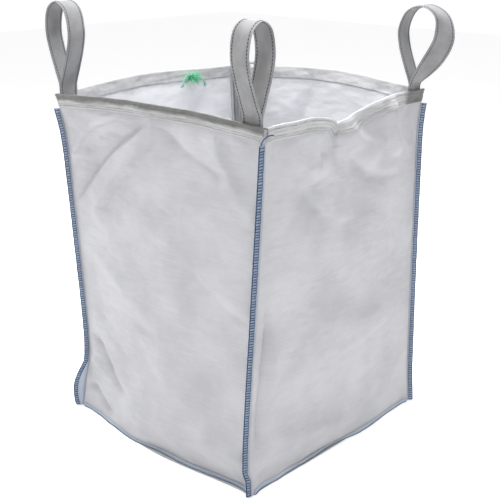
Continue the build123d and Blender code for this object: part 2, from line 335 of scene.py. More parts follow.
def noise_socket(tree, place, scale, detail=2.0, roughness=0.5):
    return add(
        tree,
        "ShaderNodeTexNoise",
        {"Vector": place, "Scale": scale, "Detail": detail, "Roughness": roughness},
    ).outputs["Fac"]


def stretched(tree, place, scale):
    """Coordinates scaled differently along each axis."""
    return add(tree, "ShaderNodeMapping", {"Vector": place, "Scale": scale}).outputs[0]


def ramp(tree, value, low, high):
    """The value taken from low..high to 0..1, eased and clamped."""
    return add(
        tree,
        "ShaderNodeMapRange",
        {"Value": value, "From Min": low, "From Max": high},
        interpolation_type="SMOOTHSTEP",
    ).outputs[0]


def weave_height(tree, place, pitch_x, pitch_y):
    """A plain weave of flat tapes: small pillows, one row crossing over the other."""
    parts = add(tree, "ShaderNodeSeparateXYZ", {0: place})
    waves = []
    for axis, pitch in (("X", pitch_x), ("Y", pitch_y)):
        turn = math_node(tree, "MULTIPLY", parts.outputs[axis], math.pi / pitch)
        waves.append(math_node(tree, "SINE", turn))
    crossing = math_node(tree, "MULTIPLY", waves[0], waves[1])
    return math_node(tree, "ABSOLUTE", crossing), crossing


def bump(tree, height, distance, strength=1.0, before=None):
    inputs = {"Height": height, "Distance": distance, "Strength": strength}
    if before is not None:
        inputs["Normal"] = before
    return add(tree, "ShaderNodeBump", inputs).outputs[0]


def cloth_material(name, light, dark, through, glow, hem=False):
    """Woven plastic tape cloth, which lets some light through. Its UVs are in metres."""
    material = new_material(name)
    tree = material.node_tree
    place = add(tree, "ShaderNodeUVMap", uv_map="UVMap").outputs[0]
    pillows, crossing = weave_height(tree, place, 0.0030, 0.0030)
    cloudy = noise_socket(tree, place, 5.0, 4.0, 0.55)
    streaks = noise_socket(tree, stretched(tree, place, (3, 60, 1)), 3.0, 3.0, 0.6)
    threads = noise_socket(tree, stretched(tree, place, (420, 6, 1)), 1.0, 1.0, 0.5)
    grime = math_node(tree, "ADD", cloudy, math_node(tree, "MULTIPLY", streaks, 0.35))
    colour = mix_colour(tree, ramp(tree, grime, 0.45, 0.90), dark, light)
    over = ramp(tree, crossing, -0.5, 0.5)
    colour = mix_colour(tree, math_node(tree, "MULTIPLY", over, 0.06), colour, (1, 1, 1, 1))
    if hem:
        # The UV's X is the distance along the rims, 2 m from one hem to the next, and its Y
        # is the depth below the rim. Shade is painted along the front left hem's top, and a patch
        # of painted shadow near the front right one's right end.
        parts = add(tree, "ShaderNodeSeparateXYZ", {0: place})
        along, drop = parts.outputs["X"], parts.outputs["Y"]
        uneven = noise_socket(tree, stretched(tree, place, (9, 30, 1)), 1.0, 3.0, 0.6)
        ragged = math_node(tree, "MULTIPLY", uneven, 0.030)
        depth = math_node(tree, "ADD", drop, ragged)
        upper = ramp(tree, depth, 0.044, 0.028)
        first_hem = ramp(tree, along, 0.46, 0.44)
        end_shadow_patch = math_node(
            tree, "MULTIPLY", ramp(tree, along, 2.31, 2.35), ramp(tree, along, 2.47, 2.45)
        )
        where = math_node(tree, "ADD", math_node(tree, "MULTIPLY", first_hem, upper), end_shadow_patch)
        # Painted shade: the hem colour is darkened towards a dark olive grey where this mask is
        # set.
        painted_shade = math_node(tree, "MULTIPLY", where, 0.86)
        colour = mix_colour(tree, painted_shade, colour, (0.135, 0.135, 0.12, 1))
        # Thin broken dark lines along the hem's folds: painted shade in its creases.
        for line_depth in (0.0105, 0.0205, 0.0320):
            wander = math_node(tree, "MULTIPLY", uneven, 0.010)
            shifted = math_node(tree, "ADD", drop, wander)
            away = math_node(tree, "SUBTRACT", shifted, line_depth + 0.005)
            thin = ramp(tree, math_node(tree, "ABSOLUTE", away), 0.0013, 0.0003)
            patches = noise_socket(tree, stretched(tree, place, (14, 4, 1)), 1.0)
            broken = ramp(tree, patches, 0.4, 0.6)
            line = math_node(tree, "MULTIPLY", thin, math_node(tree, "MULTIPLY", broken, 0.6))
            colour = mix_colour(tree, line, colour, (0.10, 0.10, 0.10, 1))
    wrinkles = noise_socket(tree, stretched(tree, place, (20, 46, 1)), 1.0, 5.0, 0.62)
    tape = math_node(tree, "MULTIPLY", threads, 0.3)
    normal = bump(tree, math_node(tree, "ADD", pillows, tape), 0.00025, 0.6)
    normal = bump(tree, wrinkles, 0.0040, 0.75, normal)
    rough = add(
        tree,
        "ShaderNodeMapRange",
        {"Value": cloudy, "To Min": 0.42, "To Max": 0.60},
    ).outputs[0]
    front = add(
        tree,
        "ShaderNodeBsdfPrincipled",
        {"Base Color": colour, "Roughness": rough, "Normal": normal},
    )
    front.inputs["Specular IOR Level"].default_value = 0.35
    front.inputs["Sheen Weight"].default_value = 0.08
    behind = add(tree, "ShaderNodeBsdfTranslucent", {"Color": through, "Normal": normal})
    both = add(
        tree, "ShaderNodeMixShader", {0: glow, 1: front.outputs[0], 2: behind.outputs[0]}
    )
    add(tree, "ShaderNodeOutputMaterial", {"Surface": both.outputs[0]})
    return material


def webbing_material():
    """Flat woven webbing: ribs across it, a slight herringbone, and painted shade in its grooves.
    """
    material = new_material("webbing")
    tree = material.node_tree
    place = add(tree, "ShaderNodeUVMap", uv_map="UVMap").outputs[0]
    parts = add(tree, "ShaderNodeSeparateXYZ", {0: place})
    slant = math_node(tree, "PINGPONG", parts.outputs["X"], 0.009)
    run = math_node(tree, "ADD", parts.outputs["Y"], math_node(tree, "MULTIPLY", slant, 0.8))
    ribs = math_node(tree, "SINE", math_node(tree, "MULTIPLY", run, 2 * math.pi / 0.0034))
    cords = math_node(
        tree, "SINE", math_node(tree, "MULTIPLY", parts.outputs["X"], 2 * math.pi / 0.0025)
    )
    height = math_node(tree, "ADD", ribs, math_node(tree, "MULTIPLY", cords, 0.7))
    fuzz = noise_socket(tree, stretched(tree, place, (300, 90, 1)), 1.0, 3.0, 0.7)
    height = math_node(tree, "ADD", height, math_node(tree, "MULTIPLY", fuzz, 1.2))
    cloudy = noise_socket(tree, stretched(tree, place, (14, 9, 1)), 1.0, 3.0, 0.6)
    colour = mix_colour(
        tree, ramp(tree, cloudy, 0.3, 0.7), (0.31, 0.31, 0.31, 1), (0.43, 0.43, 0.44, 1)
    )
    # Painted shade: the low grooves between the ribs are darkened.
    low = ramp(tree, height, -1.6, 0.6)
    colour = mix_colour(tree, low, (0.20, 0.20, 0.20, 1), colour)
    front = add(
        tree,
        "ShaderNodeBsdfPrincipled",
        {
            "Base Color": colour,
            "Roughness": add(
                tree, "ShaderNodeMapRange", {"Value": fuzz, "To Min": 0.6, "To Max": 0.85}
            ).outputs[0],
            "Normal": bump(tree, height, 0.0004, 0.7),
        },
    )
    front.inputs["Specular IOR Level"].default_value = 0.3
    front.inputs["Sheen Weight"].default_value = 0.15
    add(tree, "ShaderNodeOutputMaterial", {"Surface": front.outputs[0]})
    return material


def thread_material(name, dark, light, rough=0.7, sheen=0.2):
    """Twisted yarn: fine slanting strands and a slight change of tone along it."""
    material = new_material(name)
    tree = material.node_tree
    place = add(tree, "ShaderNodeTexCoord").outputs["Object"]
    strands = noise_socket(tree, stretched(tree, place, (900, 900, 1500)), 1.0, 2.0, 0.6)
    tone = noise_socket(tree, place, 55.0, 3.0, 0.6)
    colour = mix_colour(tree, ramp(tree, tone, 0.32, 0.68), dark, light)
    colour = mix_colour(tree, math_node(tree, "MULTIPLY", strands, 0.35), colour, light)
    front = add(
        tree,
        "ShaderNodeBsdfPrincipled",
        {
            "Base Color": colour,
            "Roughness": add(
                tree,
                "ShaderNodeMapRange",
                {"Value": strands, "To Min": rough - 0.12, "To Max": rough + 0.12},
            ).outputs[0],
            "Normal": bump(tree, strands, 0.0003, 0.8),
        },
    )
    front.inputs["Sheen Weight"].default_value = sheen
    add(tree, "ShaderNodeOutputMaterial", {"Surface": front.outputs[0]})
    return material


# One woven cloth in lit and shaded copies: the front walls and hems get a darker, less
# translucent copy (painted shade), and the back walls, back hems and base get a lighter, more
# translucent one (painted light).
shaded_front_cloth = cloth_material(
    "shaded_front_cloth", (0.68, 0.68, 0.70, 1), (0.54, 0.54, 0.56, 1), (0.80, 0.80, 0.83, 1), 0.16
)
lit_back_cloth = cloth_material(
    "lit_back_cloth", (0.72, 0.72, 0.735, 1), (0.64, 0.64, 0.65, 1), (0.86, 0.87, 0.90, 1), 0.46
)
hem_cloth = cloth_material(
    "hem_cloth", (0.66, 0.66, 0.67, 1), (0.55, 0.55, 0.555, 1), (0.70, 0.70, 0.72, 1), 0.14, True
)
lit_back_hem_cloth = cloth_material(
    "lit_back_hem_cloth", (0.72, 0.72, 0.73, 1), (0.66, 0.66, 0.67, 1), (0.82, 0.83, 0.85, 1), 0.36
)
seam_cloth = cloth_material(
    "seam_cloth", (0.53, 0.59, 0.68, 1), (0.42, 0.49, 0.59, 1), (0.5, 0.56, 0.66, 1), 0.12
)
webbing = webbing_material()
blue_thread = thread_material("blue_thread", (0.008, 0.030, 0.095, 1), (0.030, 0.095, 0.23, 1))
pale_blue = thread_material("pale_blue_thread", (0.09, 0.19, 0.36, 1), (0.20, 0.33, 0.52, 1))
# The white hem thread is painted dark grey: painted shade, standing in for the thin shadow lines
# along the hem.
white_thread = thread_material("white_thread", (0.20, 0.20, 0.20, 1), (0.34, 0.34, 0.35, 1))
dark_thread = thread_material("dark_thread", (0.020, 0.024, 0.050, 1), (0.06, 0.07, 0.12, 1))
green_twine = thread_material(
    "green_twine", (0.05, 0.42, 0.20, 1), (0.22, 0.74, 0.46, 1), 0.5, 0.1
)


# ---------------------------------------------------------------- mesh building


def lengths_along(path):
    """How far along the path each of its points is."""
    return np.concatenate([[0], np.cumsum(np.linalg.norm(np.diff(path, axis=0), axis=1))])


def resampled(where, lengths, path):
    """The path's points that far along it."""
    return np.stack([np.interp(where, lengths, path[:, c]) for c in range(3)], -1)


def paired(across, along):
    """Texture coordinates from the stations of the rows and the columns."""
    return np.stack(np.broadcast_arrays(across, along), -1)


class Shape:
    """Points and faces gathered into one mesh, with UVs in metres."""

    def __init__(self):
        self.points = []
        self.faces = []
        self.uvs = []
        self.count = 0

    def grid(self, points, uvs, wrap=False, flip=False):
        """A sheet of quads from rows of points. wrap joins the last row to the first."""
        rows, columns = points.shape[:2]
        index = np.arange(rows * columns).reshape(rows, columns) + self.count
        if wrap:
            index = np.vstack([index, index[:1]])
        quads = np.stack([index[:-1, :-1], index[1:, :-1], index[1:, 1:], index[:-1, 1:]], -1)
        quads = quads.reshape(-1, 4)
        if flip:
            quads = quads[:, ::-1]
        self.points.append(points.reshape(-1, 3))
        self.uvs.append(uvs.reshape(-1, 2))
        self.faces.extend(quads.tolist())
        self.count += rows * columns
        return index

    def tube(self, path, radius, sides=6):
        """A round thread along a path, closed at both ends."""
        path = np.asarray(path, float)
        count = len(path)
        run = np.gradient(path, axis=0)
        run /= np.linalg.norm(run, axis=1)[:, None] + 1e-12
        up = np.array([0.31, 0.22, 0.93])
        across = np.cross(run, up)
        across /= np.linalg.norm(across, axis=1)[:, None] + 1e-12
        other = np.cross(run, across)
        angles = np.arange(sides) * 2 * math.pi / sides
        size = np.full(count, radius)
        size[0] *= 0.5
        size[-1] *= 0.5
        ring = (
            path[:, None]
            + size[:, None, None]
            * (
                np.cos(angles)[None, :, None] * across[:, None]
                + np.sin(angles)[None, :, None] * other[:, None]
            )
        )
        index = np.arange(count * sides).reshape(count, sides) + self.count
        beside = np.roll(index, -1, axis=1)
        quads = np.stack([index[:-1], beside[:-1], beside[1:], index[1:]], -1).reshape(-1, 4)
        self.faces.extend(quads.tolist())
        self.faces.append(index[0][::-1].tolist())
        self.faces.append(index[-1].tolist())
        self.points.append(ring.reshape(-1, 3))
        uv = paired(angles[None] * radius, lengths_along(path)[:, None])
        self.uvs.append(uv.reshape(-1, 2))
        self.count += count * sides

    def build(self, name, material):
        mesh = bpy.data.meshes.new(name)
        points = np.concatenate(self.points)
        mesh.from_pydata(points.tolist(), [], self.faces)
        uvs = np.concatenate(self.uvs)
        layer = mesh.uv_layers.new(name="UVMap")
        corners = np.zeros(len(mesh.loops), int)
        mesh.loops.foreach_get("vertex_index", corners)
        layer.data.foreach_set("uv", uvs[corners].astype(np.float32).ravel())
        mesh.polygons.foreach_set("use_smooth", [True] * len(mesh.polygons))
        mesh.materials.append(material)
        mesh.update()
        made = bpy.data.objects.new(name, mesh)
        bpy.context.scene.collection.objects.link(made)
        return made


def apply_modifiers(piece):
    """Bakes the piece's modifiers into its mesh."""
    graph = bpy.context.evaluated_depsgraph_get()
    mesh = bpy.data.meshes.new_from_object(piece.evaluated_get(graph))
    piece.modifiers.clear()
    piece.data = mesh


def thicken(piece, thickness, offset=-1.0):
    """Gives a sheet its thickness."""
    solid = piece.modifiers.new("solid", "SOLIDIFY")
    solid.thickness = thickness
    solid.offset = offset
    apply_modifiers(piece)


def grid_of(s_range, z_range, columns, rows):
    """Stations and heights of a grid, rows by columns."""
    s = np.linspace(*s_range, columns)[None]
    t = np.linspace(0, 1, rows)[:, None]
    low, high = z_range
    return np.broadcast_arrays(s, np.asarray(low) * (1 - t) + np.asarray(high) * t)


# ---------------------------------------------------------------- walls and base
WALL_COLUMNS = 121
WALL_ROWS = 151
CLOTH_SHOWN = 0.0014

walls = []
wall_end = (HALF - 0.0015) / HALF
for k, name in enumerate(WALL_NAMES):
    stations = np.linspace(-wall_end, wall_end, WALL_COLUMNS)
    top = rim_height(k, stations) - HEM_CLOTH - PLY_GAP - 0.002
    s, z = grid_of((-wall_end, wall_end), (0.001, top[None]), WALL_COLUMNS, WALL_ROWS)
    points = surface(k, s, z, -0.0002)
    shape = Shape()
    shape.grid(points, np.stack([s * HALF + 2.0 * k, z], -1), flip=True)
    wall = shape.build(f"cloth_{name}", shaded_front_cloth if k < 2 else lit_back_cloth)
    thicken(wall, CLOTH_SHOWN)
    walls.append(wall)

base_shape = Shape()
BASE_CELLS = 61
edge_s = np.linspace(-wall_end, wall_end, BASE_CELLS)
foot = [surface(k, edge_s, np.full(BASE_CELLS, 0.0), -CLOTH, loose=0.0) for k in range(4)]
u = np.linspace(0, 1, BASE_CELLS)[None, :, None]
v = np.linspace(0, 1, BASE_CELLS)[:, None, None]
south, east, north, west = foot[0], foot[1], foot[2][::-1], foot[3][::-1]
filled = (
    (1 - v) * south[None]
    + v * north[None]
    + (1 - u) * west[:, None]
    + u * east[:, None]
    - (1 - u) * (1 - v) * south[0]
    - u * (1 - v) * south[-1]
    - (1 - u) * v * north[0]
    - u * v * north[-1]
)
ripple = 0.0011 * noise_field(filled[..., 0], filled[..., 1], 5.5, 0.11, 0.11)
u, v = np.broadcast_arrays(u[..., 0], v[..., 0])
from_edge = np.minimum.reduce([u, 1 - u, v, 1 - v])
filled[..., 2] = 0.0016 + np.abs(ripple) * ease(from_edge / 0.08)
base_shape.grid(filled, filled[..., :2].copy(), flip=True)
base = base_shape.build("cloth_base", lit_back_cloth)
thicken(base, 0.0012, offset=0.0)

# ---------------------------------------------------------------- hems
HEM_COLUMNS = 241
HEM_OUTER_ROWS = 22
HEM_INNER_ROWS = 12
hem_end = (HALF - CLOTH - 2 * PLY_GAP) / HALF
HEM_OUTER = PLY_GAP + HEM_CLOTH
HEM_INNER = -CLOTH - PLY_GAP - HEM_CLOTH


def hem_roll(k, s, drop):
    """How far the hem stands out beyond its plain place: rows of stitching pull it in, and
    between them it puffs up and puckers on the slant."""
    x = s * HALF
    wander = 0.0030 * noise_field(x, 0 * x, 77.0 + 5 * k, 0.16, 1.0)
    puff = 0.0018 * np.abs(np.sin((drop + wander) / 0.0115 * math.pi))
    slanted = noise_field(x + 0.6 * drop, drop, 71.0 + 5 * k, 0.013, 0.030)
    slow = noise_field(x, drop, 83.0 + 5 * k, 0.060, 0.050)
    return puff * (1 + 0.8 * slanted) + 0.0016 * slanted + 0.0020 * slow


def hem_flare(k, s, drop):
    """The hem's upper edge leans out or in by up to a centimetre along the rim."""
    tables = {
        0: [(-1, 0.002), (-0.7, 0.008), (0.0, 0.006), (0.6, 0.005), (1, 0.001)],
        1: [(-1, 0.001), (-0.5, -0.004), (-0.2, 0.007), (-0.12, -0.008), (0.2, -0.006),
            (0.6, -0.005), (0.85, 0.006), (1, 0.002)],
        2: [(-1, 0.0), (0, 0.004), (1, 0.0)],
        3: [(-1, 0.0), (0, -0.004), (1, 0.0)],
    }
    share = 1 - np.clip(drop / HEM_DEPTH, 0, 1)
    return smooth_through(tables[k], s) * share**1.5


def on_hem(k, s, drop, side):
    """A point of the hem's outside (side 1) or inside (side -1), that far below its top."""
    top = rim_height(k, s)
    offset = HEM_OUTER if side > 0 else HEM_INNER
    roll = hem_roll(k, s, drop) * (0.7 if side > 0 else 0.25)
    return surface(k, s, top - drop, offset + side * roll + hem_flare(k, s, drop))


hems = []
hem_rows = []
profile = [(1, drop) for drop in np.linspace(HEM_DEPTH, 0.0012, HEM_OUTER_ROWS)]
profile += [(-1, drop) for drop in np.linspace(0.0012, HEM_DEPTH, HEM_INNER_ROWS)]
for k, name in enumerate(WALL_NAMES):
    s = np.linspace(-hem_end, hem_end, HEM_COLUMNS)
    wave = 0.0012 * noise_field(s * HALF, 0 * s, 91.0 + k, 0.035, 1.0)
    rows = []
    for side, drop in profile:
        lower = wave if drop > HEM_DEPTH - 0.0001 else 0 * wave
        rows.append(on_hem(k, s, drop + lower, side))
    crest = (rows[HEM_OUTER_ROWS - 1] + rows[HEM_OUTER_ROWS]) / 2
    rows.insert(HEM_OUTER_ROWS, crest + np.array([0, 0, 0.0010]))
    depths = [drop for side, drop in profile]
    depths.insert(HEM_OUTER_ROWS, 0.0)
    depth = np.array(depths)
    shape = Shape()
    shape.grid(np.stack(rows), paired(s[None] * HALF + 2.0 * k, depth[:, None]), flip=True)
    hem = shape.build(f"hem_fold_{name}", hem_cloth if k < 2 else lit_back_hem_cloth)
    thicken(hem, 0.0010)
    hems.append(hem)

    # Rows of running stitch along the hem.
    turn = math.radians(90 * k)
    normal = np.array([math.sin(turn), -math.cos(turn), 0])
    shape = Shape()
    for drop, thick, length, gap in (
        (0.009, 0.00055, 0.0085, 0.0025),
        (HEM_DEPTH - 0.0060, 0.00065, 0.0090, 0.0020),
        (HEM_DEPTH - 0.0140, 0.00045, 0.0085, 0.0030),
    ):
        pitch = length + gap
        count = int(2 * hem_end * HALF / pitch) - 1
        for i in range(count):
            start = -hem_end * HALF + 0.004 + i * pitch
            where = np.linspace(start, start + length, 5) / HALF
            wobble = 0.0006 * math.sin(i * 1.7)
            on_face = on_hem(k, where, drop + wobble + 0 * where, 1)
            lift = thick * np.array([0.1, 1.0, 1.25, 1.0, 0.1])[:, None]
            shape.tube(on_face + normal * lift, thick, 5)
    hem_rows.append(shape.build(f"hem_stitches_{name}", white_thread))


# ---------------------------------------------------------------- corner seams
FIN_TURNS = {
    "front": [(0, -66), (0.07, -80), (0.6, -90), (1.0, -84), (1.15, -64)],
    "right": [(0, 0), (0.5, 6), (1.15, 0)],
    "back": [(0, 0), (0.5, -8), (1.15, 0)],
    "left": [(0, 4), (0.2, 6), (0.6, -6), (1.15, 0)],
}


def fin_frame(k, z):
    """The corner line at the end of wall k, the way its fin points and the way it faces."""
    corner = ROUND[k + 1]
    edge = surface(k, 1.0 + 0 * z, z, 0.0, loose=0.0)
    angle = np.radians(smooth_through(FIN_TURNS[corner], z) - 45 + 90 * k)
    angle = angle + 0.10 * noise_field(z, 0 * z, 101.0 + k, 0.05, 1.0)
    out = np.stack([np.cos(angle), np.sin(angle), 0 * z], -1)
    face = np.stack([-np.sin(angle), np.cos(angle), 0 * z], -1)
    diagonal = math.radians(135 + 90 * k)
    root = edge + FIN_INSET * math.sqrt(2) * np.array([math.cos(diagonal), math.sin(diagonal), 0])
    return root, out, face


def fin_reach(k, z):
    """How far a fin stands out at height z."""
    reach = FIN_WIDTH + 0 * z
    if ROUND[k + 1] == "left":
        bulge = smooth_through(EAR_OUTLINE, z / EAR_HEIGHT)
        reach = reach + EAR_REACH * np.where(z < EAR_HEIGHT, bulge, 0)
    return reach + 0.0008 * noise_field(z, 0 * z, 111.0 + k, 0.012, 1.0)


RUNG_PITCH = 0.0088
RUNG_THICK = 0.0014
RUNG_LENGTH = 0.0125
fins = []
fin_threads = []
for k in range(4):
    corner = ROUND[k + 1]
    z = np.linspace(0.001, FIN_TOP, 260)
    root, out, face = fin_frame(k, z)
    reach = fin_reach(k, z)
    curl = 0.0020 * noise_field(z, 0 * z, 121.0 + k, 0.045, 1.0)
    section = [(0.0, 1), (0.35, 1), (0.7, 1), (0.93, 0.9), (1.0, 0.4),
               (1.0, -0.4), (0.93, -0.9), (0.7, -1), (0.35, -1), (0.0, -1)]
    rows = []
    for share, side in section:
        bend = curl * share**2
        rows.append(
            root
            + out * (reach * share)[:, None]
            + face * (side * FIN_CLOTH / 2 + bend)[:, None]
        )
    across = np.cumsum([0] + [0.005] * (len(section) - 1))
    uv = paired(across[:, None] + 9.0 + k, z[None])
    shape = Shape()
    index = shape.grid(np.stack(rows), uv, wrap=True, flip=True)
    shape.faces.append(index[:-1, 0][::-1].tolist())
    shape.faces.append(index[:-1, -1].tolist())
    fins.append(shape.build(f"seam_fin_{corner}", seam_cloth))

    # Overlock thread: rungs that go round the free edge, slanting threads between them, a
    # chain along the edge, and the needle line by the corner.
    shape = Shape()
    pale = Shape()
    heights = np.arange(0.006, FIN_TOP - 0.004, RUNG_PITCH)
    around = [(RUNG_LENGTH, 1.0), (0.0078, 1.25), (0.0035, 1.2), (0.0006, 0.95), (-0.0009, 0.3),
              (-0.0009, -0.3), (0.0006, -0.95), (0.0035, -1.2), (0.0078, -1.25),
              (RUNG_LENGTH, -1.0)]
    for i, height in enumerate(heights):
        for made, thick, rise in ((shape, RUNG_THICK, 0.0022), (pale, 0.0008, RUNG_PITCH)):
            path = []
            steps = np.linspace(0, 1, len(around))
            level = height + rise * (np.abs(2 * steps - 1) - 0.5) + 0.0006 * math.sin(i * 2.3)
            level = np.clip(level, 0.002, FIN_TOP)
            r, o, f = fin_frame(k, level)
            long = fin_reach(k, level)
            bend = 0.0020 * noise_field(level, 0 * level, 121.0 + k, 0.045, 1.0)
            for j, (back_by, side) in enumerate(around):
                reach_here = long[j] - back_by
                share = reach_here / long[j]
                stand = side * (FIN_CLOTH / 2 + thick * 0.7) + bend[j] * share**2
                path.append(r[j] + o[j] * reach_here + f[j] * stand)
            made.tube(path, thick, 6)
    line = np.linspace(0.003, FIN_TOP, 420)
    r, o, f = fin_frame(k, line)
    long = fin_reach(k, line)
    sway = np.sin(line * 2 * math.pi / RUNG_PITCH)
    bend = 0.0020 * noise_field(line, 0 * line, 121.0 + k, 0.045, 1.0)
    edge_line = r + o * (long + 0.0010)[:, None] + f * (0.0008 * sway + bend)[:, None]
    shape.tube(edge_line, 0.0021, 6)
    for side in (1, -1):
        stand = side * (FIN_CLOTH / 2 + 0.0006)
        needle = r + o * (long - RUNG_LENGTH)[:, None] + f * (stand + 0 * line)[:, None]
        shape.tube(needle + o * (0.0005 * sway)[:, None], 0.0009, 5)
    if corner == "front":
        # The loose end of the thread chain, which lies over the hem at the top.
        top_r, top_o, top_f = fin_frame(k, np.array([FIN_TOP]))
        start = top_r[0] + top_o[0] * FIN_WIDTH * 0.9 + top_f[0] * 0.002
        right = np.array([0.728, 0.686, 0.0])
        outwards = np.array([0.70, -0.71, 0.0])
        steps = np.linspace(0, 1, 14)[:, None]
        tail_path = (
            start
            + right * 0.036 * steps**1.5
            + outwards * (0.006 * np.sin(steps * math.pi * 0.5) + 0.002)
            + np.array([0, 0, 1]) * 0.034 * np.sin(steps * math.pi / 2) ** 0.8
        )
        fine = np.linspace(0, 1, 80)
        core = resampled(fine, steps[:, 0], tail_path)
        upwards = np.array([[0, 0, 1.0]])
        for turn in range(2):
            wind = (fine * 30 + turn * math.pi)[:, None]
            aside = right[None] * np.cos(wind) + upwards * np.sin(wind)
            shape.tube(core + 0.0012 * aside, 0.0013, 6)
    thread = shape.build(f"overlock_{corner}", blue_thread)
    filler = pale.build(f"overlock_filler_{corner}", pale_blue)
    fin_threads.append((thread, filler))

# ---------------------------------------------------------------- base seams
base_strips = []
base_edges = []
for k, name in enumerate(WALL_NAMES):
    s = np.linspace(-0.975, 0.975, 181)
    shape = Shape()
    rows = []
    for height, offset in ((0.0005, 0.0012), (0.0005, 0.0030), (0.006, 0.0034), (0.012, 0.0030),
                           (0.0150, 0.0022), (0.0150, 0.0012)):
        wave = 0.0007 * noise_field(s * HALF, 0 * s, 131.0 + k, 0.020, 1.0)
        level = height + (wave if height > 0.01 else 0 * wave)
        rows.append(surface(k, s, level, offset + wave * (height > 0.001)))
    across = np.array([0, 0.002, 0.008, 0.014, 0.017, 0.018])
    uv = paired(s[None] * HALF + 20.0 + k, across[:, None])
    index = shape.grid(np.stack(rows), uv, wrap=True, flip=True)
    shape.faces.append(index[:-1, 0][::-1].tolist())
    shape.faces.append(index[:-1, -1].tolist())
    base_strips.append(shape.build(f"base_strip_{name}", seam_cloth))

    shape = Shape()
    pitch = 0.0085
    for x in np.arange(-0.968 * HALF, 0.968 * HALF, pitch):
        where = (x + np.array([0, 0.0008, 0.0016, 0.0024, 0.0030])) / HALF
        level = np.array([0.0012, 0.0020, 0.0034, 0.0048, 0.0056])
        shape.tube(surface(k, where, level, 0.0042), 0.0005, 5)
    where = np.linspace(-0.968, 0.968, 400)
    sway = 0.0005 * np.sin(where * HALF * 2 * math.pi / pitch)
    shape.tube(surface(k, where, 0.0018 + sway, 0.0043), 0.0009, 6)
    base_edges.append(shape.build(f"base_overlock_{name}", blue_thread))

# ---------------------------------------------------------------- webbing loops
# Each loop: height above its pivot, greatest width, lean outwards, height of the pivot
# above the rim, and how far its outer leg is twisted.
LOOPS = {
    "front": (0.284, 0.116, 0.0, 0.014, math.radians(6)),
    "right": (0.277, 0.160, math.radians(8), 0.014, math.radians(46)),
    "back": (0.300, 0.096, math.radians(114), 0.020, math.radians(8)),
    "left": (0.292, 0.120, 0.0, 0.014, math.radians(-6)),
}
FILLET = 0.011
STITCH_INSET = 0.0085


def loop_line(height, width):
    """Half of a loop's centreline as (outwards, up) from its pivot, up to its top."""
    leg = WEB_CLOTH / 2 + 0.0001
    broad = width / 2 - WEB_CLOTH / 2
    knots = np.array([
        (leg, 0.0),
        (leg, 0.05 * height),
        (0.36 * broad, 0.22 * height),
        (0.82 * broad, 0.47 * height),
        (broad, 0.68 * height),
        (0.72 * broad, 0.91 * height),
        (0.0, height - WEB_CLOTH / 2),
        (-0.72 * broad, 0.91 * height),
    ])
    steps = lengths_along(knots)
    fine = np.linspace(0, steps[6], 90)
    line = np.stack([smooth_through(list(zip(steps, knots[:, c])), fine) for c in (0, 1)], -1)
    for _ in range(2):
        line[1:-1] = (line[:-2] + 2 * line[1:-1] + line[2:]) / 4
    return line


def webbing_line(k):
    """The whole strap's centreline in its own plane, as (outwards, up) from the pivot: down
    one leg, round the loop and down the other."""
    height, width, _, rise, _ = LOOPS[ROUND[k + 1]]
    half_loop = loop_line(height, width)
    leg = WEB_CLOTH / 2 + 0.0001
    foot = -(LEG_LENGTH + rise)
    down = np.stack([np.full(70, leg), np.linspace(foot, -0.002, 70)], -1)
    outer = np.concatenate([down, half_loop])
    inner = outer * np.array([-1, 1])
    return np.concatenate([outer, inner[::-1][1:]])


def strap_points(k, line, across, stand):
    """World points of the strap: along its centreline, that far across it from its middle,
    and standing that far off its outer face side."""
    height, _, lean, rise, twist = LOOPS[ROUND[k + 1]]
    run = np.gradient(line, axis=0)
    run /= np.linalg.norm(run, axis=1)[:, None] + 1e-12
    normal = np.stack([run[:, 1], -run[:, 0]], -1)
    half_way = len(line) // 2
    share = np.clip(line[:, 1] / height, 0, 1)
    on_outer = np.arange(len(line)) < half_way
    turned = twist * np.sin(share * math.pi) ** 1.2 * np.where(on_outer, 1.0, 0.0)
    foot = surface(k, WEB_MIDDLE, RIM, LEG_MIDDLE, loose=0.0)
    foot = np.array([foot[0], foot[1], RIM + rise])
    yaw = RIM_TWIST + math.radians(90 * k)
    along = np.array([math.cos(yaw), math.sin(yaw), 0.0])
    outwards = np.array([math.sin(yaw), -math.cos(yaw), 0.0])
    result = np.zeros((len(line), 3))
    for i, (n, h) in enumerate(line):
        m = n + normal[i, 0] * stand * math.cos(turned[i])
        g = h + normal[i, 1] * stand * math.cos(turned[i])
        side = across * math.cos(turned[i]) - stand * math.sin(turned[i])
        m += normal[i, 0] * across * math.sin(turned[i])
        g += normal[i, 1] * across * math.sin(turned[i])
        if lean and g > -FILLET:
            angle = lean * min(1.0, (g + FILLET) / (2 * FILLET))
            radius = FILLET / math.tan(lean / 2)
            beyond = max(0.0, g - FILLET)
            nn = radius * (1 - math.cos(angle)) + beyond * math.sin(angle)
            hh = -FILLET + radius * math.sin(angle) + beyond * math.cos(angle)
            nn += m * math.cos(angle)
            hh -= m * math.sin(angle)
        else:
            nn, hh = m, g
        high = foot + along * side + outwards * nn + np.array([0, 0, hh])
        if g < 0:
            level = RIM + rise + g
            station = WEB_MIDDLE + side / HALF
            low = surface(k, station, min(level, RIM), LEG_MIDDLE + nn, loose=0.0)
            low[2] = level
            blend = float(ease((g + 0.040) / 0.040))
            high = low * (1 - blend) + high * blend
        result[i] = high
    return result


